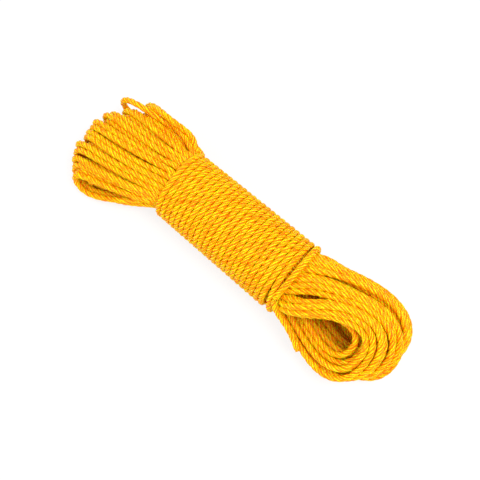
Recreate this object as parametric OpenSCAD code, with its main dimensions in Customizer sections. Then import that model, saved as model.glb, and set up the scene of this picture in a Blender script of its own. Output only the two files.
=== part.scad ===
// Hank of three-strand twisted rope: one length of rope, folded into a long hank, bound
// round the waist with its own end, and locked by a last turn that leaves a short tail.
// X runs along the hank, Z is up, and the hank lies on z = 0.

/* [Rope] */
// Diameter of the rope
rope_d = 4; // [3.4:0.1:4.1]
// Least space between neighbouring runs, turns and layers
lay_gap = 0.5; // [0.45:0.05:0.6]

/* [Hank] */
// Length of the hank over the middles of its outer loop ends
hank_l = 264; // [256:1:290]
// Width of the far end's fan of loops, between the middles of its outer columns
fan_w = 75; // [68:1:84]
// Sideways lean of the far end's fan
fan_lean = 4; // [0:0.5:8]
// Height of the far end's loops above the hank's axis
fan_top_h = 20; // [18:0.5:24]
// Width of the near end's stack of loops, between the middles of its outer columns
stack_w = 58; // [58:1:64]
// Half height of the near end's loops
stack_h = 28; // [26:0.5:29]
// Angle by which the near end's loops lie over, so that their eye faces up
stack_tilt = 45; // [38:1:48]

/* [Winding] */
// Place of the winding's far edge along the hank
wind_far_x = -60; // [-64:1:-58]
// Length of the winding
wind_l = 104; // [90:1:108]

/* [Ends] */
// Length of the tail beyond its last bend
tail_l = 12; // [6:1:16]

/* [Hidden] */

rope_colour = "#f7b01a";
rope_sides = 6;
tail_sides = 8;

pitch = rope_d + lay_gap;
rope_r = rope_d / 2;
// A faceted rope rests on flats cut a tenth of its diameter deep.
floor_cut = rope_d / 10;
floor_run_z = rope_r * sin(60) - floor_cut;

// Loops of the inner layer, which spirals one way, and of the outer one, which comes back
inner_loops = 9;
outer_loops = 10;
loops = inner_loops + outer_loops;

// Angles round a loop at which a run has its rings, closer together at the bends, and those
// of the whole loop, whose second run comes back by the same places
run_stations = [0, 9, 20, 34, 50, 64, 108, 124, 138, 152, 165];
loop_stations = concat(run_stations, [180],
    [for (i = [len(run_stations) - 1:-1:1]) 360 - run_stations[i]]);
// Of these, the two at the winding's edges: between them a run lies straight
far_edge = 64;
near_edge = 108;

// Layers at the waist, as half widths and half heights to the rope's middle
layer_step = 1.4 * pitch;
waist_a = 4.6 * pitch;
waist_b = 4.45 * pitch;
wind_rings = 12;
wind_a = (waist_a + pitch) / cos(180 / wind_rings);
wind_b = (waist_b + pitch) / cos(180 / wind_rings);
lock_rise = 0.4;
axis_z = wind_b + lock_rise + rope_r + 0.1;

// Ends of the hank
far_x = -hank_l / 2;
near_x = hank_l / 2;
wind_near_x = wind_far_x + wind_l;
bend_step = 1.35 * pitch;
height_step = 1.75 * pitch;
far_round = 15;
far_drop = 5;
// The near end's loops reach furthest near the middle of the stack. They are lower at its
// foot, below a share of its half width, and a little lower at the eye.
near_round = 8;
near_lean = -0.1;
near_foot = 0.4;
near_drop = 30;
eye_drop = 3;
// The fan is fully open this far before its end, and the stack this far before its own.
fan_full = 20;
stack_full = 12;
// How soon both open where they leave the winding
open_power = 1.7;

function clamp01(t) = max(0, min(1, t));
function ease(t) = let (c = clamp01(t)) c * c * (3 - 2 * c);
function opened(t) = 1 - pow(1 - clamp01(t), open_power);
function unit(v) = v / norm(v);
function lerp(a, b, t) = a + (b - a) * t;

// Place of a column across the hank, from 0 at one side to 1 at the other. The inner layer
// moves over at a steady rate, and the outer one moves back.
function column(turn) = clamp01(turn < inner_loops ? turn / inner_loops
    : 1 - (turn - inner_loops) / outer_loops);

// Layer of the rope: 0 inner, 1 outer, 2 on the winding. Each climb lies along a run.
function layer(turn) = ease((turn - inner_loops + 0.02) / 0.16) + ease((turn - loops) / 0.14);

// Middle of the rope after some turns of the hank, before the ends are set down: a long loop
// whose runs follow a ring at the waist, and open out into a fan at the far end and into a
// tilted stack at the near end. The last two values are the shares of the fan and the stack.
function loose_point(turn) =
    let (
        phase = 360 * (turn - floor(turn)),
        swing = phase < 180 ? phase : 360 - phase,
        side = 2 * column(turn) - 1,
        depth = layer(turn) - 1,
        x_far = far_x + far_round * side * side - bend_step * depth,
        x_near = near_x - near_round * pow(side - near_lean, 2) + bend_step * depth,
        x = swing < far_edge ? lerp(wind_far_x, x_far, cos(90 * swing / far_edge))
            : swing > near_edge
                ? lerp(wind_near_x, x_near, cos(90 * (180 - swing) / (180 - near_edge)))
            : lerp(wind_far_x, wind_near_x, (swing - far_edge) / (near_edge - far_edge)),
        far = opened((wind_far_x - x) / (wind_far_x - far_x - fan_full)),
        near = opened((x - wind_near_x) / (near_x - stack_full - wind_near_x)),
        waist = 1 - far - near,
        swell = sign(sin(phase)) * (1 - pow(1 - abs(sin(phase)), 2.6)),
        ring = 180 * column(turn),
        far_h = phase < 180 ? fan_top_h - far_drop * side * side
            : axis_z - floor_run_z - 1.5 * side * side,
        near_h = stack_h - near_drop * pow(max(0, -side - near_foot), 2)
            - eye_drop * pow(max(0, side), 2),
        y = waist * (waist_a + layer_step * depth) * cos(ring)
            - far * (fan_w / 2 * side + fan_lean) - near * stack_w / 2 * side,
        h = swell * (waist * (waist_b + layer_step * depth) * sin(ring)
            + far * (far_h + height_step * min(depth, 0))
            + near * (near_h + height_step * depth)),
        tilt = -stack_tilt * ease((x - wind_near_x) / (near_x - wind_near_x))
    )
    [x, y * cos(tilt) - h * sin(tilt), axis_z + y * sin(tilt) + h * cos(tilt), far, near];

// Heights that set the two ends down on the ground, where their lowest runs bed flat
bed = 0.8;
function set_down(end) = max([for (k = [0:loops - 1], a = loop_stations)
    let (p = loose_point(k + a / 360)) if (p[end] > 0.5) (floor_run_z - bed - p[2]) / p[end]]);
far_lift = set_down(3);
near_lift = set_down(4);
function hank_point(turn) = let (p = loose_point(turn))
    [p[0], p[1], max(p[2] + far_lift * p[3] + near_lift * p[4], floor_run_z)];

// First point of the hank, at the middle of a bend, where the start end meets it
hank_start = hank_point(0);
// Last point of the hank, where the winding meets it
hank_end = [wind_far_x - rope_d, wind_a, axis_z];
// Where the last run starts to come in to it
hank_lead = [-22, 4.5, 5.5];

hank_points = concat(
    [hank_start, hank_start + [0, 0, rope_d]],
    [for (k = [0:loops - 1], a = loop_stations) if (k > 0 || a > 9) hank_point(k + a / 360)],
    [for (a = [0, 9, 20, 34]) hank_point(loops + a / 360)],
    [hank_end + hank_lead, hank_end - [rope_d, 0, 0], hank_end]);

// The winding: straight in from the hank, round a bend, then turn beside turn
wind_bend = 5;
wind_turns = floor((wind_l - wind_bend - 1.5 * pitch) / pitch);
wind_x0 = wind_far_x + wind_bend;
function wind_point(angle) =
    [wind_x0 + pitch * angle / 360, wind_a * cos(angle), axis_z + wind_b * sin(angle)];

wind_end_angle = 360 * wind_turns - 90;
wind_end = wind_point(wind_end_angle);
wind_points = concat(
    [hank_end, hank_end + [rope_d, 0, 0],
     [wind_far_x + 0.7 * wind_bend, wind_a * cos(6), axis_z + wind_b * sin(6)]],
    [for (angle = [360 / wind_rings / 2:360 / wind_rings:wind_end_angle - 14]) wind_point(angle)],
    [wind_end - [0, rope_d, 0], wind_end]);

// The locking turn: once more round, a little prouder, then forward to the tail
lock_tuck = 130;
function lock_point(angle, ahead) =
    [wind_end[0] + pitch * angle / 360 + ahead, (wind_a + lock_rise) * cos(angle - 90),
     axis_z + (wind_b + lock_rise) * sin(angle - 90)];
lock_end = lock_point(90 + lock_tuck + 22, 2.4 * rope_d);
lock_points = concat(
    [wind_end, wind_end + [0, rope_d, 0]],
    [for (angle = [30:30:90 + lock_tuck]) lock_point(angle, lock_rise)],
    [lock_point(90 + lock_tuck + 15, 0.7 * rope_d), lock_end - [rope_d, 0, 0], lock_end]);

// The start end: the first run's beginning, cut off inside the far loops
start_points = concat(
    [hank_start, hank_start - [0, 0, rope_d]],
    [for (a = [20, 30, 40])
        let (p = hank_point(a / 360)) [p[0], p[1], 2 * hank_start[2] - p[2]]]);

// The tail: out and down along the near loops, to a plain cut
tail_bend = [16, -4.5, -6.5];
tail_points = [
    lock_end,
    lock_end + [rope_d, 0, 0],
    lock_end + tail_bend * 0.6,
    lock_end + tail_bend,
    lock_end + tail_bend + [tail_l, -5, -7]];

// Direction of the rope at a point, square to its end faces
function heading(p, i, ends) =
    i == 0 ? ends[0] : i == len(p) - 1 ? ends[1]
    : unit(unit(p[i + 1] - p[i]) + unit(p[i] - p[i - 1]));

// One ring of a tube, turned so that a flat faces along the axis across
function ring_points(p, dir, across, sides) =
    let (b = unit(across - (across * dir) * dir), n = cross(dir, b))
    [for (k = [0:sides - 1]) let (a = 360 * k / sides, q = p + rope_r * (b * cos(a) + n * sin(a)))
        [q[0], q[1], max(q[2], 0)]];

// Directions across a turn that lies on the waist, so that one corner of the tube faces out
function across_turn(p, ends) = [for (i = [0:len(p) - 1])
    cross([0, p[i][1], p[i][2] - axis_z], heading(p, i, ends))];

// A tube of triangles along points, with flat ends. The whole hank is moved over by the fan's
// lean, which puts its two sides at the same distance.
module tube(p, ends, across, sides) {
    n = len(p);
    rings = [for (i = [0:n - 1]) each ring_points(p[i], heading(p, i, ends), across[i], sides)];
    walls = [for (i = [0:n - 2], k = [0:sides - 1])
        let (a = i * sides + k, b = i * sides + (k + 1) % sides)
        each [[a, b, b + sides], [a, b + sides, a + sides]]];
    caps = [for (k = [1:sides - 2]) each [[0, k + 1, k],
        [(n - 1) * sides, (n - 1) * sides + k, (n - 1) * sides + k + 1]]];
    translate([0, fan_lean, 0]) polyhedron(rings, concat(walls, caps));
}

// Least distance between two straight pieces of a route, by sampling one against the other
function point_to_piece(q, a, b) =
    let (t = clamp01((q - a) * (b - a) / ((b - a) * (b - a)))) norm(q - lerp(a, b, t));
function piece_gap(a, b, c, d) =
    min([for (t = [0:0.25:1]) min(point_to_piece(lerp(a, b, t), c, d),
        point_to_piece(lerp(c, d, t), a, b))]) - rope_d;
// Two pieces are only worked out where their middles are near enough to matter.
function self_gap(p, apart) = min([for (i = [0:len(p) - 2 - apart], j = [i + apart:len(p) - 2])
    let (reach = (norm(p[i + 1] - p[i]) + norm(p[j + 1] - p[j])) / 2 + 2 * rope_d)
    if (j < len(p) - 1 && norm((p[i] + p[i + 1] - p[j] - p[j + 1]) / 2) < reach)
        piece_gap(p[i], p[i + 1], p[j], p[j + 1])]);
function route_l(p) = let (steps = [for (i = [1:len(p) - 1]) norm(p[i] - p[i - 1])])
    steps * [for (s = steps) 1];

module hank_loops() {
    color(rope_colour)
        tube(hank_points, [[0, 0, 1], [1, 0, 0]], [for (p = hank_points) [0, 1, 0]], rope_sides);
}

module waist_winding() {
    ends = [[1, 0, 0], [0, 1, 0]];
    color(rope_colour) tube(wind_points, ends, across_turn(wind_points, ends), rope_sides);
}

module locking_turn() {
    ends = [[0, 1, 0], [1, 0, 0]];
    color(rope_colour) tube(lock_points, ends, across_turn(lock_points, ends), rope_sides);
}

module start_end() {
    color(rope_colour)
        tube(start_points, [[0, 0, -1], unit(start_points[4] - start_points[3])],
            [for (p = start_points) [0, 1, 0]], tail_sides);
}

module cut_tail() {
    color(rope_colour)
        tube(tail_points, [[1, 0, 0], unit(tail_points[4] - tail_points[3])],
            [for (p = tail_points) [0, 1, 0]], tail_sides);
}

union() {
    echo(least_gap_hank = self_gap(hank_points, 3), least_gap_winding = self_gap(wind_points, 3));
    echo(length_hank = route_l(hank_points), length_winding = route_l(wind_points));
}
hank_loops();
waist_winding();
locking_turn();
start_end();
cut_tail();
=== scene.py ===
# A long hank of three-strand rope, bound round the waist with its own end.
# Lengths are in millimetres up to the point where a mesh is filled.
import math
import bpy
import numpy as np
from mathutils import Matrix, Vector


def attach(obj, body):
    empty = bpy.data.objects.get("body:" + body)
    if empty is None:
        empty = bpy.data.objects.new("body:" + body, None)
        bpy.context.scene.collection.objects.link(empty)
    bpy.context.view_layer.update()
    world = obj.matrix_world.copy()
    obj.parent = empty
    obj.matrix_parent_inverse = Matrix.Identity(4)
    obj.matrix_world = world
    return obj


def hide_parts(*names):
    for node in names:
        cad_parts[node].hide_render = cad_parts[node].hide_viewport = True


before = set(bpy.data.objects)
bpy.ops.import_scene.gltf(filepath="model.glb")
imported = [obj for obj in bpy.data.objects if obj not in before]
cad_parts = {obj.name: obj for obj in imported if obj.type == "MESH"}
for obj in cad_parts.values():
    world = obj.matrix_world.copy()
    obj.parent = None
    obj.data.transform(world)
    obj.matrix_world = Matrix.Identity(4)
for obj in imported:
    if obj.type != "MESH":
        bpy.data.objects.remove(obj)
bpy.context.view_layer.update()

mm = 0.001

camera = {
    "back": (0.20, -0.24, 0.95),  # from the hank towards the camera
    "distance": 600.0,
    "lens": 68.4,
    "sensor": 36,
    "slope": 39.0,  # how far below level the hank runs to the right, in degrees
    "aim": (0.0, 1.5, 28.0),
}


def makeCamera(c):
    # Right and up in the picture are the hank's length as the camera sees it, and the direction
    # square to that, both turned by the slope.
    back = Vector(c["back"]).normalized()
    along = (Vector((1, 0, 0)) - back * back.x).normalized()
    across = back.cross(along)
    slope = math.radians(c["slope"])
    right = along * math.cos(slope) + across * math.sin(slope)
    up = across * math.cos(slope) - along * math.sin(slope)
    data = bpy.data.cameras.new("camera")
    data.lens = c["lens"]
    data.sensor_width = c["sensor"]
    data.clip_start = 0.01
    data.clip_end = 10
    cam = bpy.data.objects.new("camera", data)
    bpy.context.collection.objects.link(cam)
    place = (Vector(c["aim"]) + back * c["distance"]) * mm
    turn = Matrix((right, up, back)).transposed()
    cam.matrix_world = Matrix.Translation(place) @ turn.to_4x4()
    bpy.context.scene.camera = cam


makeCamera(camera)
print("camera placed")

rope = {
    "diameter": 4.0,
    "strandOut": 0.88,  # from the rope's middle to a strand's
    "strandRadius": 1.37,
    "groove": 0.24,  # depth, between the two yarns that show on a strand
    "grooveWidth": 0.17,  # in radians
    "grooveWander": 0.15,  # how far it strays from the strand's middle, in radians
    "grooveEvery": 20.0,  # and in how many mm
    "lay": 17.4,  # length of one full turn of a strand
    "layWander": 0.25,  # how far a strand's turn strays, in radians
    "layEvery": 40.0,
    "strandsPerTurn": 26.5,  # in the winding, so that neighbours sit half a strand apart
    "sides": 36,
    "ringStep": 1.2,
}
runZ = rope["strandOut"] + rope["strandRadius"]  # middle of a run that lies on the floor


def ease(t):
    # t squared times (3 - 2 t), with t held between 0 and 1.
    c = np.clip(t, 0, 1)
    return c * c * (3 - 2 * c)


def mix(a, b, t):
    # On the straight line from a to b, at the share t.
    return a + (b - a) * t


def unit(v):
    # Each vector divided by its length.
    return v / np.linalg.norm(v, axis=-1, keepdims=True)


def bell(offset, width):
    # e to the power of minus (offset / width) squared.
    return np.exp(-(offset / width)**2)


def opened(distance, over, power):
    # How far an end has opened: 1 less the part of the way that is left, to a power.
    return 1 - (1 - np.clip(distance / over, 0, 1))**power


def wander(turn, every, size, seed):
    # A smooth random value along the route: random numbers each `every` turns, eased between.
    draw = np.random.default_rng(seed).normal(0, size, int(max(turn) / every) + 3)
    place = turn / every
    low = np.floor(place).astype(int)
    return mix(draw[low], draw[low + 1], ease(place - low))


def wanderByBend(turn, size, seed):
    # The same with a new number for each bend, half a turn apart.
    return wander(turn + 0.25, 0.5, size, seed)


hank = {
    "loops": (4, 6, 11, 15),  # in each layer, from the core out
    "waistA": 20.7,  # half the outer layer's width at the waist
    "waistB": 20.0,  # and half its height
    "axisY": 4.0,
    "axisZ": 27.9,
    "layerStep": 4.1,  # between layers at the waist
    "heightStep": 3.7,  # and in height at the ends
    "farSwing": 64,  # of a swing's 180 degrees, from the far bend to the winding's edge
    "nearSwing": 108,  # and to its other edge
    "pointsPerLoop": 180,
    "lastPart": 0.12,  # of a loop, beyond the last full one
    "sidePart": 0.7,  # of a layer's last loop, which stays at the side
    "changeEarly": 0.02,  # of a loop, before a layer's end, where the route starts to change over
    "changeOver": 0.16,
    "startSide": 0.95,  # where the first end lies across the fan
    "startOver": 0.8,  # of a loop, until the route has left that side
    "loose": 1.4,  # how far a run strays outside the waist
    "looseEvery": 0.2,  # of a loop
}
fan = {  # the far end; its steep side is the one below 0, and its open side the one above
    "spread": (0.62, 0.78, 0.92, 1.0),  # of the layers, from the core out
    "width": 73.0,
    "reach": 133.5,
    "reachStep": 4.5,  # between layers
    "reachWander": 1.6,
    "round": (20.0, 10.3),  # how much less far the steep side and the open side reach
    "roundOver": 0.55,
    "roundPower": 1.2,
    "corner": 3.0,  # how much less far the steep side's last loops reach
    "cornerFrom": 0.74,
    "cornerOver": 0.1,
    "steepEnd": -0.86,  # no loop lies beyond it but the stray one
    "top": 19.0,
    "topDrop": (5.0, 14.0),  # how much lower the top is at the steep side and the open side
    "underRise": 1.5,  # and how much higher the underside is
    "leastHalf": 10.0,  # of a loop's height
    "blunt": 11.8,  # over the root of half a loop's height, for a fold near a half circle
    "open": (3.6, 2.0, 1.8, 1.32),  # how soon the loops part, at these places across it
    "openAt": (-0.8, -0.6, 0, 1),
    "openOver": 52.0,
    "tilt": 14.0,  # how far the open side's loops lie over, in degrees
    "tiltFrom": 0.1,
    "tuck": 2.2,  # and how far in they move
    "bulge": 5.0,  # of the steep side, where it leaves the winding
    "bulgeFrom": 0.6,
    "bulgeOver": 0.3,
    "bulgeOut": 8.0,  # from the winding to its middle
    "bulgeLength": 9.0,
    "bunches": 7,
    "bunching": 0.45,
    "bunchReach": 1.8,
    "bunchRise": 1.5,
    "sink": 4.0,
}
stray = {  # the far loop that stands off from the others
    "loop": 36,
    "x": -129.8,
    "bend": -8.5,  # across the hank
    "run": 3.0,  # how much of that the upper run makes good
}
stack = {  # the near end, laid over; its loops are counted from -1, the lowest, to 1, the top one
    "spread": (0.85, 0.95, 1.0, 1.0),
    "width": 46.0,
    "height": 30.0,
    "drop": 30.0,  # times the square of how far below -dropFrom a loop lies, off its height
    "dropFrom": 0.4,
    "tilt": 45.0,
    "reach": 125.6,
    "reachStep": 5.2,
    "reachWander": 1.4,
    "furthest": -0.24,  # which of the loops reaches furthest
    "round": 8.0,  # times the square of the distance from it, off the reach
    "blunt": 2.6,
    "openPower": 2,
    "openOver": 76.0,
    "sag": 3.0,  # of the loops that lie on top
    "shift": 1.2,
    "sink": 1.5,
    "neck": 4.5,  # how far the low loops stand out beside the winding
    "neckFrom": 0.5,
    "neckOver": 0.3,
    "neckOut": 9.0,
    "neckLength": 8.0,
    "crossing": 7.0,  # how far the top bundle's upper runs part from the rest by the winding
    "crossingFrom": 0.64,  # where the bundle begins
    "crossingShare": 0.7,  # that it moves itself; the rest moves the other way
    "crossingOver": 0.4,  # how soon the runs further down move less
    "crossingOut": 15.0,
    "crossingLength": 11.0,
}


def loopPlaces(h, f, n):
    # The route turns once in each loop. The loops of a layer move over from one side to the other
    # at a steady rate, and the next layer's move back. For each point this gives its turn, its
    # place in its layer from 0 to 1, its layer counted back from the outer one, and the places
    # from -1 to 1 of its far bend and of its near bend, each of which is one value for a bend.
    counts = np.array(h["loops"])
    starts = np.concatenate([[0], np.cumsum(counts)])
    total = starts[-1]
    turn = np.arange(0, (total + h["lastPart"]) * h["pointsPerLoop"]) / h["pointsPerLoop"]

    def columnAt(t):
        layer = np.clip(np.searchsorted(starts, t, side="right") - 1, 0, len(counts) - 1)
        share = np.clip((t - starts[layer]) / (counts[layer] - h["sidePart"]), 0, 1)
        return np.where((len(counts) - 1 - layer) % 2 == 1, share, 1 - share)

    depth = 1.0 - len(counts) + sum(
        ease((turn - s + h["changeEarly"]) / h["changeOver"]) for s in starts[1:])
    depths = np.arange(len(counts)) - len(counts) + 1
    farColumn = columnAt(np.minimum(np.floor(turn + 0.5), total - 0.5))
    nearColumn = columnAt(np.floor(turn) + 0.5)
    side = (2 * farColumn - 1) * np.interp(depth, depths, f["spread"])
    side = mix(h["startSide"], side, ease(turn / h["startOver"]))
    pile = (2 * nearColumn - 1) * np.interp(depth, depths, n["spread"])
    return turn, columnAt(turn), depth, side, pile


def bunchesAt(f, side):
    # The fan in equal shares, a bunch of loops in each: the middle of a loop's share, from -1 to
    # 1, and how much further and higher its bunch lies, which is random.
    number = np.clip(np.floor((side + 1) / 2 * f["bunches"]), 0, f["bunches"] - 1)
    draw = np.random.default_rng(7).uniform(-1, 1, (2, f["bunches"]))[:, number.astype(int)]
    middle = (number + 0.5) / f["bunches"] * 2 - 1
    return middle, f["bunchReach"] * draw[0], f["bunchRise"] * draw[1]


def farBendX(f, turn, depth, side, bunchReach):
    # The reach, less a bell turned over on the steep side or a power of the distance from the
    # middle on the open side, less a step for each layer further in.
    steep = (f["round"][0] * (1 - bell(side, f["roundOver"]))
             + f["corner"] * ease((-side - f["cornerFrom"]) / f["cornerOver"]))
    less = np.where(side < 0, steep, f["round"][1] * np.abs(side)**f["roundPower"])
    return (less - f["reach"] - f["reachStep"] * depth - bunchReach
            + wanderByBend(turn, f["reachWander"], 1))


def nearBendX(n, turn, depth, pile):
    # The reach, less a multiple of the squared distance from the furthest loop, less a step for
    # each layer further in.
    return (n["reach"] - n["round"] * (pile - n["furthest"])**2 + n["reachStep"] * depth
            + wanderByBend(turn, n["reachWander"], 2))


def swingX(h, w, phase, farX, nearX):
    # x goes to and fro once a loop: a quarter of a cosine between a bend and the winding's edge,
    # and a straight line under the winding.
    swing = np.where(phase < 180, phase, 360 - phase)
    farPart = swing / h["farSwing"]
    nearPart = (180 - swing) / (180 - h["nearSwing"])
    under = (swing - h["farSwing"]) / (h["nearSwing"] - h["farSwing"])
    x = mix(w["farX"], w["nearX"], under)
    x = np.where(nearPart < 1, mix(w["nearX"], nearX, np.cos(np.pi / 2 * nearPart)), x)
    return np.where(farPart < 1, mix(w["farX"], farX, np.cos(np.pi / 2 * farPart)), x)


def crossingShift(n, w, x, pile, swell):
    # A bell along the hank, times a share for the bundle on top and the other way for the rest,
    # whose shift falls off as e to the power of minus the distance below the bundle.
    below = np.minimum(pile, n["crossingFrom"]) - n["crossingFrom"]
    part = np.where(pile > n["crossingFrom"], n["crossingShare"],
                    -np.exp(below / n["crossingOver"]))
    at = bell(x - w["nearX"] - n["crossingOut"], n["crossingLength"])
    return n["crossing"] * ease(swell) * at * part


def hankRoute(h, f, s, n, w):
    # x swings between the two ends, and (y, height) is a sum of a ring at the waist, a fan at the
    # far end and a stack at the near end, each times its share at that x. Height goes up and down
    # with a blunted sine: 1 less a power of (1 - sine), so that runs lie flat and folds are round.
    turn, column, depth, side, pile = loopPlaces(h, f, n)
    bunchMiddle, bunchReach, bunchRise = bunchesAt(f, side)
    strays = (np.floor(turn + 0.5) == s["loop"]) * 1.0
    side = np.maximum(side, mix(f["steepEnd"], -1, strays))
    phase = 360 * (turn - np.floor(turn))
    farX = mix(farBendX(f, turn, depth, side, bunchReach), s["x"], strays)
    x = swingX(h, w, phase, farX, nearBendX(n, turn, depth, pile))
    far = opened(w["farX"] - x, f["openOver"], np.interp(side, f["openAt"], f["open"]))
    near = opened(x - w["nearX"], n["openOver"], n["openPower"])
    waist = 1 - far - near

    # How far the fan's upper and lower runs lie from the axis, and half of a loop's height.
    lowStep = h["heightStep"] * np.minimum(depth, 0)
    farUp = f["top"] - np.where(side < 0, *f["topDrop"]) * side**2
    farDown = h["axisZ"] - runZ - f["underRise"] * side**2
    farHalf = np.maximum((farUp + farDown) / 2 + lowStep + bunchRise, f["leastHalf"])
    blunt = np.where((phase < 90) | (phase > 270), f["blunt"] / np.sqrt(farHalf),
                     n["blunt"] * np.sqrt(n["height"] / (n["height"] + lowStep)))
    sine = np.sin(np.radians(phase))
    swell = np.sign(sine) * (1 - (1 - np.abs(sine))**blunt)

    # The ring, the fan and the stack, each with its y and its height above the axis.
    ringY = (h["waistA"] + h["layerStep"] * depth) * np.cos(np.pi * column)
    ringH = swell * (h["waistB"] + h["layerStep"] * depth) * np.sin(np.pi * column)
    upper = ease(0.5 + swell / 2) * ease(1 + depth)  # the outer layer's upper runs lie in bunches
    bunched = mix(side, bunchMiddle, f["bunching"] * upper)
    lies = ease((side - f["tiltFrom"]) / (1 - f["tiltFrom"]))
    over = np.radians(f["tilt"]) * lies
    farH = (farUp - farDown) / 2 + swell * farHalf
    fanY = (f["tuck"] * lies + farH * np.sin(over) - f["width"] / 2 * bunched - h["axisY"]
            + strays * (s["bend"] + s["run"] * np.maximum(swell, 0)))
    fanH = farH * np.cos(over)
    stackY = -n["width"] / 2 * pile
    lowered = n["drop"] * np.maximum(-pile - n["dropFrom"], 0)**2
    stackH = swell * (n["height"] - lowered + h["heightStep"] * depth)
    bulge = (f["bulge"] * ease((-side - f["bulgeFrom"]) / f["bulgeOver"])
             * bell(x - w["farX"] + f["bulgeOut"], f["bulgeLength"]))
    neck = (n["neck"] * ease((-pile - n["neckFrom"]) / n["neckOver"])
            * bell(x - w["nearX"] - n["neckOut"], n["neckLength"]))
    y = waist * ringY + far * fanY + near * stackY + bulge + neck
    height = waist * ringH + far * fanH + near * stackH
    y = y + wander(turn, h["looseEvery"], h["loose"], 3) * (1 - waist)
    height = height + wander(turn, h["looseEvery"], h["loose"], 4) * (1 - waist)

    tilt = np.radians(-n["tilt"]) * near  # the near end is laid over, the more the further out
    z = h["axisZ"] + y * np.sin(tilt) + height * np.cos(tilt)
    y = y * np.cos(tilt) - height * np.sin(tilt)
    y = y - n["sag"] * near * np.maximum(pile, 0) - crossingShift(n, w, x, pile, swell)
    z = np.maximum(z - f["sink"] * far - n["sink"] * near, runZ)
    return np.stack([x, y + h["axisY"] + n["shift"] * near, z], axis=1)


winding = {
    "farX": -60.0,
    "nearX": 44.0,
    "turns": 24,
    "pitch": 4.12,
    "a": 24.5,  # half its width, to the rope's middle
    "b": 24.0,  # and half its height
    "taper": 0.025,  # how much wider it is at the near edge than in its middle, as a share
    "skew": 0.9,  # how far its middle runs aside from there to the near edge
    "skewEnd": 1.2,  # of half its length, where that ends
    "aside": 0.4,
    "entry": (-3.5, 2.8, 0),  # the rope's way in, from the first turn's start
    "leadIn": ((-18, -1.0, 3.0), (-7, 0.2, 2.0)),  # and the points before it, from there
    "angles": (4, -90, 5),  # in degrees: the first, the last from the full turns, and the step
    "lastDrift": 3.0,  # of the last full turn, at the side where the end is tucked in
    "driftFrom": 2.8,  # in radians before the last angle
    "driftOver": 1.4,
    "gripFar": (1, 5),  # from how far outside the far edge it grips the loops, and over how much
    "gripNear": (6, 6),
}


def alongWinding(w, x):
    # -1 at the far edge, 0 in the middle and 1 at the near edge.
    return 2 * (x - w["farX"]) / (w["nearX"] - w["farX"]) - 1


def middleY(w, h, x):
    # The winding's middle runs a little askew: a straight line in x.
    return (h["axisY"] + w["aside"]
            - w["skew"] * np.clip(alongWinding(w, x), -w["skewEnd"], w["skewEnd"]))


def windPoint(w, h, angle):
    # A helix on a tapering ellipse: x grows with the angle, (y, z) turn round the waist.
    x = w["farX"] + rope["diameter"] + w["pitch"] * angle / (2 * np.pi)
    grow = 1 + w["taper"] * alongWinding(w, x)
    return np.stack([x, middleY(w, h, x) + w["a"] * grow * np.cos(angle),
                     h["axisZ"] + w["b"] * grow * np.sin(angle)], axis=1)


def windingTurns(w, h, lastAngle):
    # The helix at equal angles, with its end eased along the hank.
    angle = np.arange(math.radians(w["angles"][0]), lastAngle, math.radians(w["angles"][2]))
    turns = windPoint(w, h, angle)
    turns[:, 0] += w["lastDrift"] * ease((angle - lastAngle + w["driftFrom"]) / w["driftOver"])
    return turns


def leadIn(h, w, last):
    # From the hank's last run, along its side, and over into the winding's first turn.
    entry = windPoint(w, h, np.array([0.0]))[0] + w["entry"]
    return np.stack([last] + [entry + offset for offset in w["leadIn"]] + [entry])


def insideWinding(w, h):
    # A point outside the ellipse that is a rope's thickness inside the winding is pulled straight
    # in to it, in full between the winding's edges and eased off at them.
    def confine(p):
        x = p[:, 0]
        grow = 1 + w["taper"] * alongWinding(w, x)
        inside = (ease((x - w["farX"] + w["gripFar"][0]) / w["gripFar"][1])
                  * ease((w["nearX"] + w["gripNear"][0] - x) / w["gripNear"][1]))
        a = (w["a"] - rope["diameter"]) * grow
        b = (w["b"] - rope["diameter"]) * grow
        middle = middleY(w, h, x)
        y = p[:, 1] - middle
        z = p[:, 2] - h["axisZ"]
        out = np.maximum(np.sqrt((y / a)**2 + (z / b)**2), 1)
        pull = mix(1, 1 / out, inside)
        return np.stack([x, middle + y * pull, h["axisZ"] + z * pull], axis=1)
    return confine


locking = {
    "angles": (15, 246, 15.0),  # in degrees on from the winding: the first, the end and the step
    "proud": 0.05,  # how much wider it is than the winding, as a share
    "proudFrom": 1.0,  # in radians from its start, as are the next ones
    "proudOver": 1.5,
    "drifts": ((-2.1, 0.0, 1.5), (0.9, 2.1, 0.9), (-2.9, 3.5, 0.9)),  # mm, from where, over what
    "held": 0.8,  # how firmly it is held while the route settles
}


def lockingTurn(h, w, c, start):
    # Two thirds of a turn on an ellipse that grows past the winding's, with x eased back over
    # the winding's edge.
    first, end, every = c["angles"]
    angle = np.radians(np.arange(first, end, every)) + start
    turn = windPoint(w, h, angle)
    proud = 1 + c["proud"] * ease((angle - start - c["proudFrom"]) / c["proudOver"])
    turn[:, 1:] = mix((h["axisY"], h["axisZ"]), turn[:, 1:], proud[:, None])
    turn[:, 0] += sum((drift * ease((angle - start - since) / over)
                       for drift, since, over in c["drifts"]), w["lastDrift"])
    return turn


tail = {  # points from the locking turn's end out along the near loops, to a plain cut
    "offsets": ((4, -1.5, -4.5), (10, -2.0, -9.0), (18, -3.6, -12.5), (25, -6.4, -15.5),
                (32, -10.0, -18.5)),
}


def lengthAlong(points):
    # The sum of the distances between neighbours, up to each point.
    return np.concatenate([[0], np.cumsum(np.linalg.norm(np.diff(points, axis=0), axis=1))])


def resample(points, step):
    # Points at equal steps along a line, by length.
    length = lengthAlong(points)
    count = int(round(length[-1] / step))
    at = np.linspace(0, length[-1], count + 1)
    return np.stack([np.interp(at, length, points[:, k]) for k in range(3)], axis=1)


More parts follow.
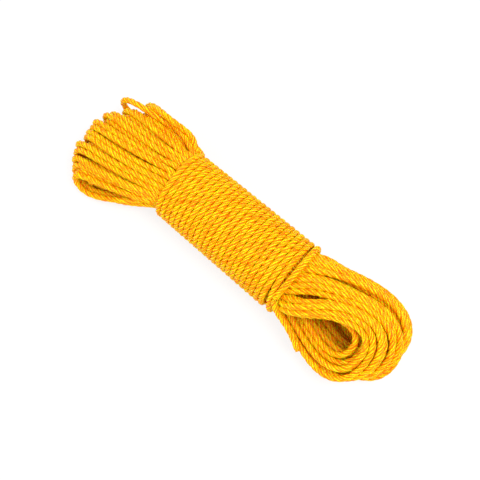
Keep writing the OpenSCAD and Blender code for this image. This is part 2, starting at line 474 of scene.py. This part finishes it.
def smoothLine(points, rounds):
    # Each round moves a point half way to the middle of its neighbours; the ends stay.
    p = points.copy()
    for _ in range(rounds):
        p[1:-1] = 0.5 * p[1:-1] + 0.25 * (p[:-2] + p[2:])
    return p


def nearPairs(p, reach, apart):
    # Pairs of points of the route that are close in space but not along it. The points are
    # sorted into cubes, and each is set against those in its own cube and the 26 round it.
    cell = np.floor(p / reach).astype(np.int64)
    cell -= cell.min(axis=0)
    size = cell.max(axis=0) + 3
    key = (cell[:, 0] * size[1] + cell[:, 1]) * size[2] + cell[:, 2]
    order = np.argsort(key, kind="stable")
    sortedKey = key[order]
    found = []
    for dx, dy, dz in np.ndindex(3, 3, 3):
        want = key + ((dx - 1) * size[1] + dy - 1) * size[2] + dz - 1
        low = np.searchsorted(sortedKey, want, side="left")
        count = np.searchsorted(sortedKey, want, side="right") - low
        i = np.repeat(np.arange(len(p)), count)
        first = np.repeat(np.concatenate([[0], np.cumsum(count)[:-1]]), count)
        j = order[np.repeat(low, count) + np.arange(len(i)) - first]
        keep = j > i + apart
        i, j = i[keep], j[keep]
        close = np.linalg.norm(p[i] - p[j], axis=1) < reach
        found.append(np.stack([i[close], j[close]]))
    return np.concatenate(found, axis=1)


settling = {
    "step": 3.0,  # between the route's points
    "smoothing": 4,
    "rounds": 170,
    "space": 1.04,  # between the middles of touching runs, in diameters
    "apart": 6,  # steps along the rope within which points don't push each other
    "lookEvery": 12,  # rounds between two searches for pairs
    "lookFurther": 3,
    "evenings": 2,
    "keeps": 0.999,  # of the shift, each round
}


def settle(p, held, tied, waistOf, c, space):
    # The route gives way where it lies in itself: points closer than `space` push each other
    # half the lack apart, the shifts are evened out along the rope, the waist holds in what is
    # tied there, and the floor bears it.
    start = p.copy()
    free = 1 - held[:, None]
    for number in range(c["rounds"]):
        if number % c["lookEvery"] == 0:
            pairs = nearPairs(p, space + c["lookFurther"], c["apart"])
        i, j = pairs
        gap = p[j] - p[i]
        dist = np.maximum(np.linalg.norm(gap, axis=1), 1e-6)
        push = np.maximum(space - dist, 0)
        hit = push > 0
        move = gap[hit] / dist[hit, None] * push[hit, None] * 0.5
        both = np.concatenate([i[hit], j[hit]])
        moves = np.concatenate([-move, move])
        weight = np.bincount(both, minlength=len(p))
        shift = np.stack([np.bincount(both, moves[:, k], minlength=len(p)) for k in range(3)], 1)
        shift /= np.maximum(weight, 1)[:, None]**0.5
        offset = p + shift * free - start
        for _ in range(c["evenings"]):
            offset[1:-1] = 0.4 * offset[1:-1] + 0.3 * (offset[:-2] + offset[2:])
        p = start + offset * free * c["keeps"]
        p = mix(p, waistOf(p), tied[:, None])
        p[:, 2] = np.maximum(p[:, 2], runZ)
    i, j = nearPairs(p, space, c["apart"])
    deepest = space - np.linalg.norm(p[j] - p[i], axis=1).min() if len(i) else 0
    print("settled: deepest overlap", round(float(deepest), 2),
          "mean shift", round(float(np.linalg.norm(p - start, axis=1).mean()), 2))
    return p


loops = resample(hankRoute(hank, fan, stray, stack, winding), settling["step"])
lastAngle = 2 * np.pi * winding["turns"] + math.radians(winding["angles"][1])
lead = leadIn(hank, winding, loops[-1])[1:]
turns = windingTurns(winding, hank, lastAngle)
lock = lockingTurn(hank, winding, locking, lastAngle)
stretches = (loops, lead, turns, lock, lock[-1] + tail["offsets"])
inLead, inWinding, inLocking, inTail = 1, 2, 3, 4  # the stretches' numbers; the loops are 0
wholeRope = np.concatenate(stretches)
stretchOf = np.concatenate([np.full(len(q), k) for k, q in enumerate(stretches)])
length = lengthAlong(wholeRope)
even = resample(wholeRope, settling["step"])
evenAt = np.linspace(0, length[-1], len(even))
stretch = stretchOf[np.clip(np.searchsorted(length, evenAt), 0, len(stretchOf) - 1)]
held = np.select([stretch == inWinding, stretch == inLocking], [1.0, locking["held"]], 0.0)
tied = np.where(stretch <= inLead, 1.0, 0.0)
line = settle(smoothLine(even, settling["smoothing"]), held, tied, insideWinding(winding, hank),
              settling, rope["diameter"] * settling["space"])

third = 2 * np.pi / 3  # one strand's share of the turn


def ropeFrames(p, acrossHint):
    # Two directions square to each ring's tangent: the hint less its share along the tangent,
    # and the product of the two.
    t = unit(np.gradient(p, axis=0))
    n = unit(acrossHint - np.sum(acrossHint * t, axis=1, keepdims=True) * t)
    return n, np.cross(t, n)


def fromStrand(angle):
    # The angle to the middle of the strand that lies there, between minus and plus a sixth turn.
    return np.mod(angle + third / 2, third) - third / 2


def lobes(r, angle, drift):
    # Distance from the rope's middle to a strand's outside: the far crossing of a ray with a
    # circle whose middle is off the centre, for the strand that the ray meets, less a groove
    # that drifts about the strand's middle.
    a = fromStrand(angle)
    out, radius = r["strandOut"], r["strandRadius"]
    groove = r["groove"] * bell(a[None, :] - drift[:, None], r["grooveWidth"])
    return out * np.cos(a) + np.sqrt(radius**2 - (out * np.sin(a))**2) - groove


def tubeFaces(rings, sides):
    # Quads between neighbouring rings, closed round, and triangles to the two end points.
    i, k = np.meshgrid(np.arange(rings - 1), np.arange(sides), indexing="ij")
    a = i * sides + k
    b = i * sides + (k + 1) % sides
    quads = np.stack([a, b, b + sides, a + sides], axis=-1).reshape(-1, 4)
    k = np.arange(sides)
    following = (k + 1) % sides
    points = rings * sides
    last = points - sides
    starts = np.stack([np.full(sides, points), following, k], axis=-1)
    ends = np.stack([np.full(sides, points + 1), last + k, last + following], axis=-1)
    return quads, np.concatenate([starts, ends])


def tubeMesh(name, points, quads, triangles):
    # The faces' corners one after the other, with the place where each face begins.
    mesh = bpy.data.meshes.new(name)
    mesh.vertices.add(len(points))
    mesh.vertices.foreach_set("co", points.ravel())
    corners = np.concatenate([quads.ravel(), triangles.ravel()])
    sizes = np.concatenate([np.full(len(quads), 4), np.full(len(triangles), 3)])
    begins = np.concatenate([[0], np.cumsum(sizes)[:-1]])
    mesh.loops.add(len(corners))
    mesh.loops.foreach_set("vertex_index", corners.astype(np.int32))
    mesh.polygons.add(len(sizes))
    mesh.polygons.foreach_set("loop_start", begins.astype(np.int32))
    mesh.update(calc_edges=True)
    mesh.polygons.foreach_set("use_smooth", np.ones(len(sizes), dtype=bool))
    return mesh


def laidRope(name, p, hint, s, twist):
    # A profile of three lobes carried along a line: each point is the line's point, plus its
    # distance times (cosine of its angle along one direction, sine along the other), and the
    # angle grows with the twist. Both ends are closed with triangles round a middle point. The
    # attributes are a point on a cylinder (cosine, sine, length) and how far it is from the
    # strand's middle, from 0 to 1.
    n, b = ropeFrames(p, hint)
    around = np.linspace(0, 2 * np.pi, rope["sides"], endpoint=False)
    r = lobes(rope, around, wander(s / rope["grooveEvery"], 1, rope["grooveWander"], 6))
    angle = (around[None, :] + twist[:, None])[..., None]
    v = p[:, None] + r[..., None] * (np.cos(angle) * n[:, None] + np.sin(angle) * b[:, None])
    points = np.concatenate([v.reshape(-1, 3), p[:1], p[-1:]]) * mm
    mesh = tubeMesh(name, points, *tubeFaces(*r.shape))
    fibre = np.stack(np.broadcast_arrays(np.cos(around)[None, :], np.sin(around)[None, :],
                                         s[:, None]), axis=-1)
    ends = np.array([[0, 0, s[0]], [0, 0, s[-1]]])
    attribute = mesh.attributes.new("fibre", "FLOAT_VECTOR", "POINT")
    attribute.data.foreach_set("vector", np.concatenate([fibre.reshape(-1, 3), ends]).ravel())
    # How far a point is from the strand's middle. The material paints shade into the creases by
    # it.
    lobe = np.broadcast_to(np.abs(fromStrand(around)) / (third / 2), r.shape)
    attribute = mesh.attributes.new("lobe", "FLOAT", "POINT")
    attribute.data.foreach_set("value", np.concatenate([lobe.ravel(), [0, 0]]))
    mesh.validate()
    piece = bpy.data.objects.new(name, mesh)
    bpy.context.collection.objects.link(piece)
    return piece


cuts = {
    "smoothing": 8,  # rounds, on the line of the rings
    "startEnd": 34,  # length of the first end
    "hankPieces": 6,
    "turnOver": 15,  # rings over which the hint turns from one direction to the other
    "pathEvery": 4,  # rings
}
ringStep = rope["ringStep"]
fine = smoothLine(resample(line, ringStep), cuts["smoothing"])
fineAt = np.arange(len(fine)) * ringStep
print("rope", round(fineAt[-1] / 1000, 2), "m")
stretch = stretch[np.round(np.linspace(0, len(line) - 1, len(fine))).astype(int)]
# The rings' directions follow a hint that lies across the rope: y in the loops, and x in the
# winding, which runs round x.
window = np.ones(cuts["turnOver"]) / cuts["turnOver"]
toX = ease(np.convolve(stretch >= inLead, window, mode="same"))[:, None]
hint = mix(np.array([0, 1.0, 0]), np.array([1.0, 0, 0]), toX)
hint[stretch == inTail] = (0, 1, 0.5)

# The strands turn evenly with the length, but in the winding with the angle round the waist.
windAngle = np.unwrap(np.arctan2(fine[:, 2] - hank["axisZ"], fine[:, 1] - hank["axisY"]))
perRing = np.where(stretch == inWinding, np.gradient(windAngle) * rope["strandsPerTurn"] / 3,
                   2 * np.pi * ringStep / rope["lay"])
fineTwist = np.cumsum(perRing) + wander(fineAt / rope["layEvery"], 1, rope["layWander"], 5)


def cutPiece(name, low, high, replaced):
    # The rings from low to high of the one rope, as a piece of its own.
    span = slice(low, high + 1)
    piece = laidRope(name, fine[span], hint[span], fineAt[span], fineTwist[span])
    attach(piece, "root")
    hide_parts(replaced)
    path = fine[span][::cuts["pathEvery"]]
    if (high - low) % cuts["pathEvery"]:
        path = np.concatenate([path, fine[high:high + 1]])
    return piece


windLow, lockLow, tailLow = (int(np.argmax(stretch == k)) for k in (inWinding, inLocking, inTail))
startHigh = int(cuts["startEnd"] / ringStep)
ends = np.linspace(startHigh, windLow, cuts["hankPieces"] + 1).round().astype(int)
pieces = [cutPiece("startEnd", 0, startHigh, "start_end")]
for k, (low, high) in enumerate(zip(ends, ends[1:])):
    pieces.append(cutPiece(f"hankLoops{k + 1}", low, high, "hank_loops"))
pieces.append(cutPiece("waistWinding", windLow, lockLow, "waist_winding"))
pieces.append(cutPiece("lockingTurn", lockLow, tailLow, "locking_turn"))
pieces.append(cutPiece("cutTail", tailLow, len(fine) - 1, "cut_tail"))
print("pieces", len(pieces), "triangles",
      sum(len(q.data.loops) - 2 * len(q.data.polygons) for q in pieces))


class Sock:
    # A shader socket, on which Python's operators add Math nodes.
    def __init__(self, tree, socket):
        self.tree = tree
        self.socket = socket

    def beside(self, name):
        # Another output of the same node.
        return Sock(self.tree, self.socket.node.outputs[name])

    def math(self, kind, *values):
        return self.tree.node("ShaderNodeMath", {"operation": kind}, dict(enumerate(values)))

    def __add__(self, other):
        return self.math("ADD", self, other)

    def __mul__(self, other):
        return self.math("MULTIPLY", self, other)

    def __sub__(self, other):
        return self.math("SUBTRACT", self, other)

    def __rsub__(self, other):
        return self.math("SUBTRACT", other, self)

    def __pow__(self, other):
        return self.math("POWER", self, other)

    def atLeast(self, other):
        return self.math("MAXIMUM", self, other)

    __radd__ = __add__
    __rmul__ = __mul__


class Tree:
    # The nodes of one material or world.
    def __init__(self, owner):
        owner.use_nodes = True
        self.nodes = owner.node_tree.nodes
        self.links = owner.node_tree.links
        self.nodes.clear()

    def node(self, kind, settings, inputs, output=0):
        # A node of this type: its settings first, a ramp's stops among them, then the value or
        # link of each socket.
        made = self.nodes.new(kind)
        for key, value in settings.items():
            if key == "stops":
                self.setStops(made.color_ramp.elements, value)
            else:
                setattr(made, key, value)
        for key, value in inputs.items():
            if isinstance(value, Sock):
                self.links.new(value.socket, made.inputs[key])
            else:
                made.inputs[key].default_value = value
        return Sock(self, made.outputs[output]) if made.outputs else None

    def setStops(self, elements, stops):
        while len(elements) < len(stops):
            elements.new(0.5)
        for element, (at, colour) in zip(elements, stops):
            element.position = at
            element.color = (*colour, 1)


yarn = {
    # The darkest tone, which random dark streaks and the painted shade in the creases reach.
    "shade": (0.88, 0.22, 0.0),
    "body": (0.87, 0.63, 0.001),
    "light": (0.92, 0.74, 0.010),
    "tones": (0.43, 0.48, 0.54),  # at which these stand
    "yarns": (3.0, 0.20),  # streaks: how fine round the rope, and along it
    "hairs": (6.5, 0.42),
    "patches": (0.5, 0.035),
    "streakDetail": 2.0,
    "streakRoughness": 0.6,
    "yarnsTone": 0.37,
    "hairsTone": 0.34,
    "patchesTone": 0.06,
    "evenTone": 0.12,
    "creaseShadeTone": 0.24,  # painted shade: how much darker it is between the strands
    "yarnCreaseShade": 0.7,  # and the painted shade between a strand's two yarns, as a share of that
    "roughness": 0.30,
    "hairRoughness": 0.25,
    "specular": 0.1,
    "bump": 0.8,
    "bumpHeight": 0.0003,
    "bumpYarns": 0.7,
    "bumpHairs": 0.3,
    "glow": 0.75,  # the share of the light that passes through the filament
    "glowColour": (1.0, 0.25, 0.01),
    "glowDepth": 0.003,
}


def makeYarn(c):
    # Tone is a weighted sum of three streak patterns, less a painted shade in the creases at both
    # edges of a yarn:
    # the 4th power of the distance from the strand's middle, and the 6th power of what is left of
    # it.
    material = bpy.data.materials.new("yellow filament")
    t = Tree(material)
    fibre = t.node("ShaderNodeAttribute", {"attribute_name": "fibre"}, {}, "Vector")

    def streaks(around, along):
        # Noise that runs with the strands: fine round the rope, long along it.
        at = t.node("ShaderNodeVectorMath", {"operation": "MULTIPLY"},
                    {0: fibre, 1: (around, around, along)})
        return t.node("ShaderNodeTexNoise", {"noise_dimensions": "3D"},
                      {"Vector": at, "Scale": 1.0, "Detail": c["streakDetail"],
                       "Roughness": c["streakRoughness"]})

    yarns = streaks(*c["yarns"])
    hairs = streaks(*c["hairs"])
    patches = streaks(*c["patches"])
    lobe = t.node("ShaderNodeAttribute", {"attribute_name": "lobe"}, {}, "Fac")
    # Painted shade, darkest in the creases between strands and between a strand's yarns.
    paintedShade = lobe**4 + (1 - lobe)**6 * c["yarnCreaseShade"]
    tone = (yarns * c["yarnsTone"] + hairs * c["hairsTone"] + patches * c["patchesTone"]
            + c["evenTone"] - paintedShade * c["creaseShadeTone"])
    stops = list(zip(c["tones"], (c["shade"], c["body"], c["light"])))
    colour = t.node("ShaderNodeValToRGB", {"stops": stops}, {0: tone})
    bump = t.node("ShaderNodeBump", {}, {
        "Strength": c["bump"], "Distance": c["bumpHeight"],
        "Height": yarns * c["bumpYarns"] + hairs * c["bumpHairs"]})
    shader = t.node("ShaderNodeBsdfPrincipled", {}, {
        "Base Color": colour, "Roughness": hairs * c["hairRoughness"] + c["roughness"],
        "Specular IOR Level": c["specular"], "Subsurface Weight": c["glow"],
        "Subsurface Radius": c["glowColour"], "Subsurface Scale": c["glowDepth"],
        "Normal": bump})
    t.node("ShaderNodeOutputMaterial", {}, {0: shader})
    return material


yarnMaterial = makeYarn(yarn)
for piece in pieces:
    piece.data.materials.append(yarnMaterial)
print("material made")

floor = {
    "half": 3.0,  # of its side, in metres, as is its height
    "z": -0.0001,
    "colour": (0.9, 0.9, 0.9, 1),
    "roughness": 0.9,
    "specular": 0.1,
    "shadow": 0.2,  # the share of the lit floor that the camera sees
}
light = {
    "key": (4.4, (0.35, 0.0, 0.95), 0.35),  # strength in watts, direction, and size in metres
    "fill": (2, (-0.6, -0.5, 0.9), 0.8),
    "distance": 0.9,
    "world": 0.83,
}
white = (1, 1, 1, 1)


def raysOf(t, *kinds):
    # 1 for rays of these kinds and 0 for all others.
    path = t.node("ShaderNodeLightPath", {}, {})
    seen = path.beside(kinds[0])
    for kind in kinds[1:]:
        seen = seen.atLeast(path.beside(kind))
    return seen


def makeFloor(c):
    # White for what the camera, a mirror or glass sees, with a share of the lit floor in it.
    material = bpy.data.materials.new("pale floor")
    t = Tree(material)
    seen = raysOf(t, "Is Camera Ray", "Is Glossy Ray", "Is Transmission Ray")
    plain = t.node("ShaderNodeBsdfPrincipled", {}, {
        "Base Color": c["colour"], "Roughness": c["roughness"],
        "Specular IOR Level": c["specular"]})
    glow = t.node("ShaderNodeEmission", {}, {"Color": white, "Strength": 1.0})
    shader = t.node("ShaderNodeMixShader", {}, {0: seen * (1 - c["shadow"]), 1: plain, 2: glow})
    t.node("ShaderNodeOutputMaterial", {}, {0: shader})
    h, z = c["half"], c["z"]
    mesh = bpy.data.meshes.new("floor")
    mesh.from_pydata([(-h, -h, z), (h, -h, z), (h, h, z), (-h, h, z)], [], [(0, 1, 2, 3)])
    mesh.materials.append(material)
    plane = bpy.data.objects.new("floor", mesh)
    bpy.context.collection.objects.link(plane)


def makeWorld(strength):
    # White where the camera or a reflection looks at it, and this strong as a light.
    world = bpy.data.worlds.new("studio")
    bpy.context.scene.world = world
    t = Tree(world)
    level = t.node("ShaderNodeMix", {}, {
        "Factor": raysOf(t, "Is Camera Ray", "Is Glossy Ray"), "A": strength, "B": 1.0})
    shader = t.node("ShaderNodeBackground", {}, {"Color": white, "Strength": level})
    t.node("ShaderNodeOutputWorld", {}, {0: shader})


def makeLight(name, strength, direction, size):
    # A disk lamp on a sphere round the hank, turned to its middle.
    data = bpy.data.lights.new(name, "AREA")
    data.shape = "DISK"
    data.size = size
    data.energy = strength
    lamp = bpy.data.objects.new(name, data)
    bpy.context.collection.objects.link(lamp)
    d = Vector(direction).normalized()
    lamp.matrix_world = (Matrix.Translation(d * light["distance"])
                         @ d.to_track_quat("Z", "Y").to_matrix().to_4x4())


makeFloor(floor)
makeWorld(light["world"])
makeLight("key", *light["key"])
makeLight("fill", *light["fill"])
bpy.context.scene.view_settings.view_transform = "Standard"
print("floor and lights placed")
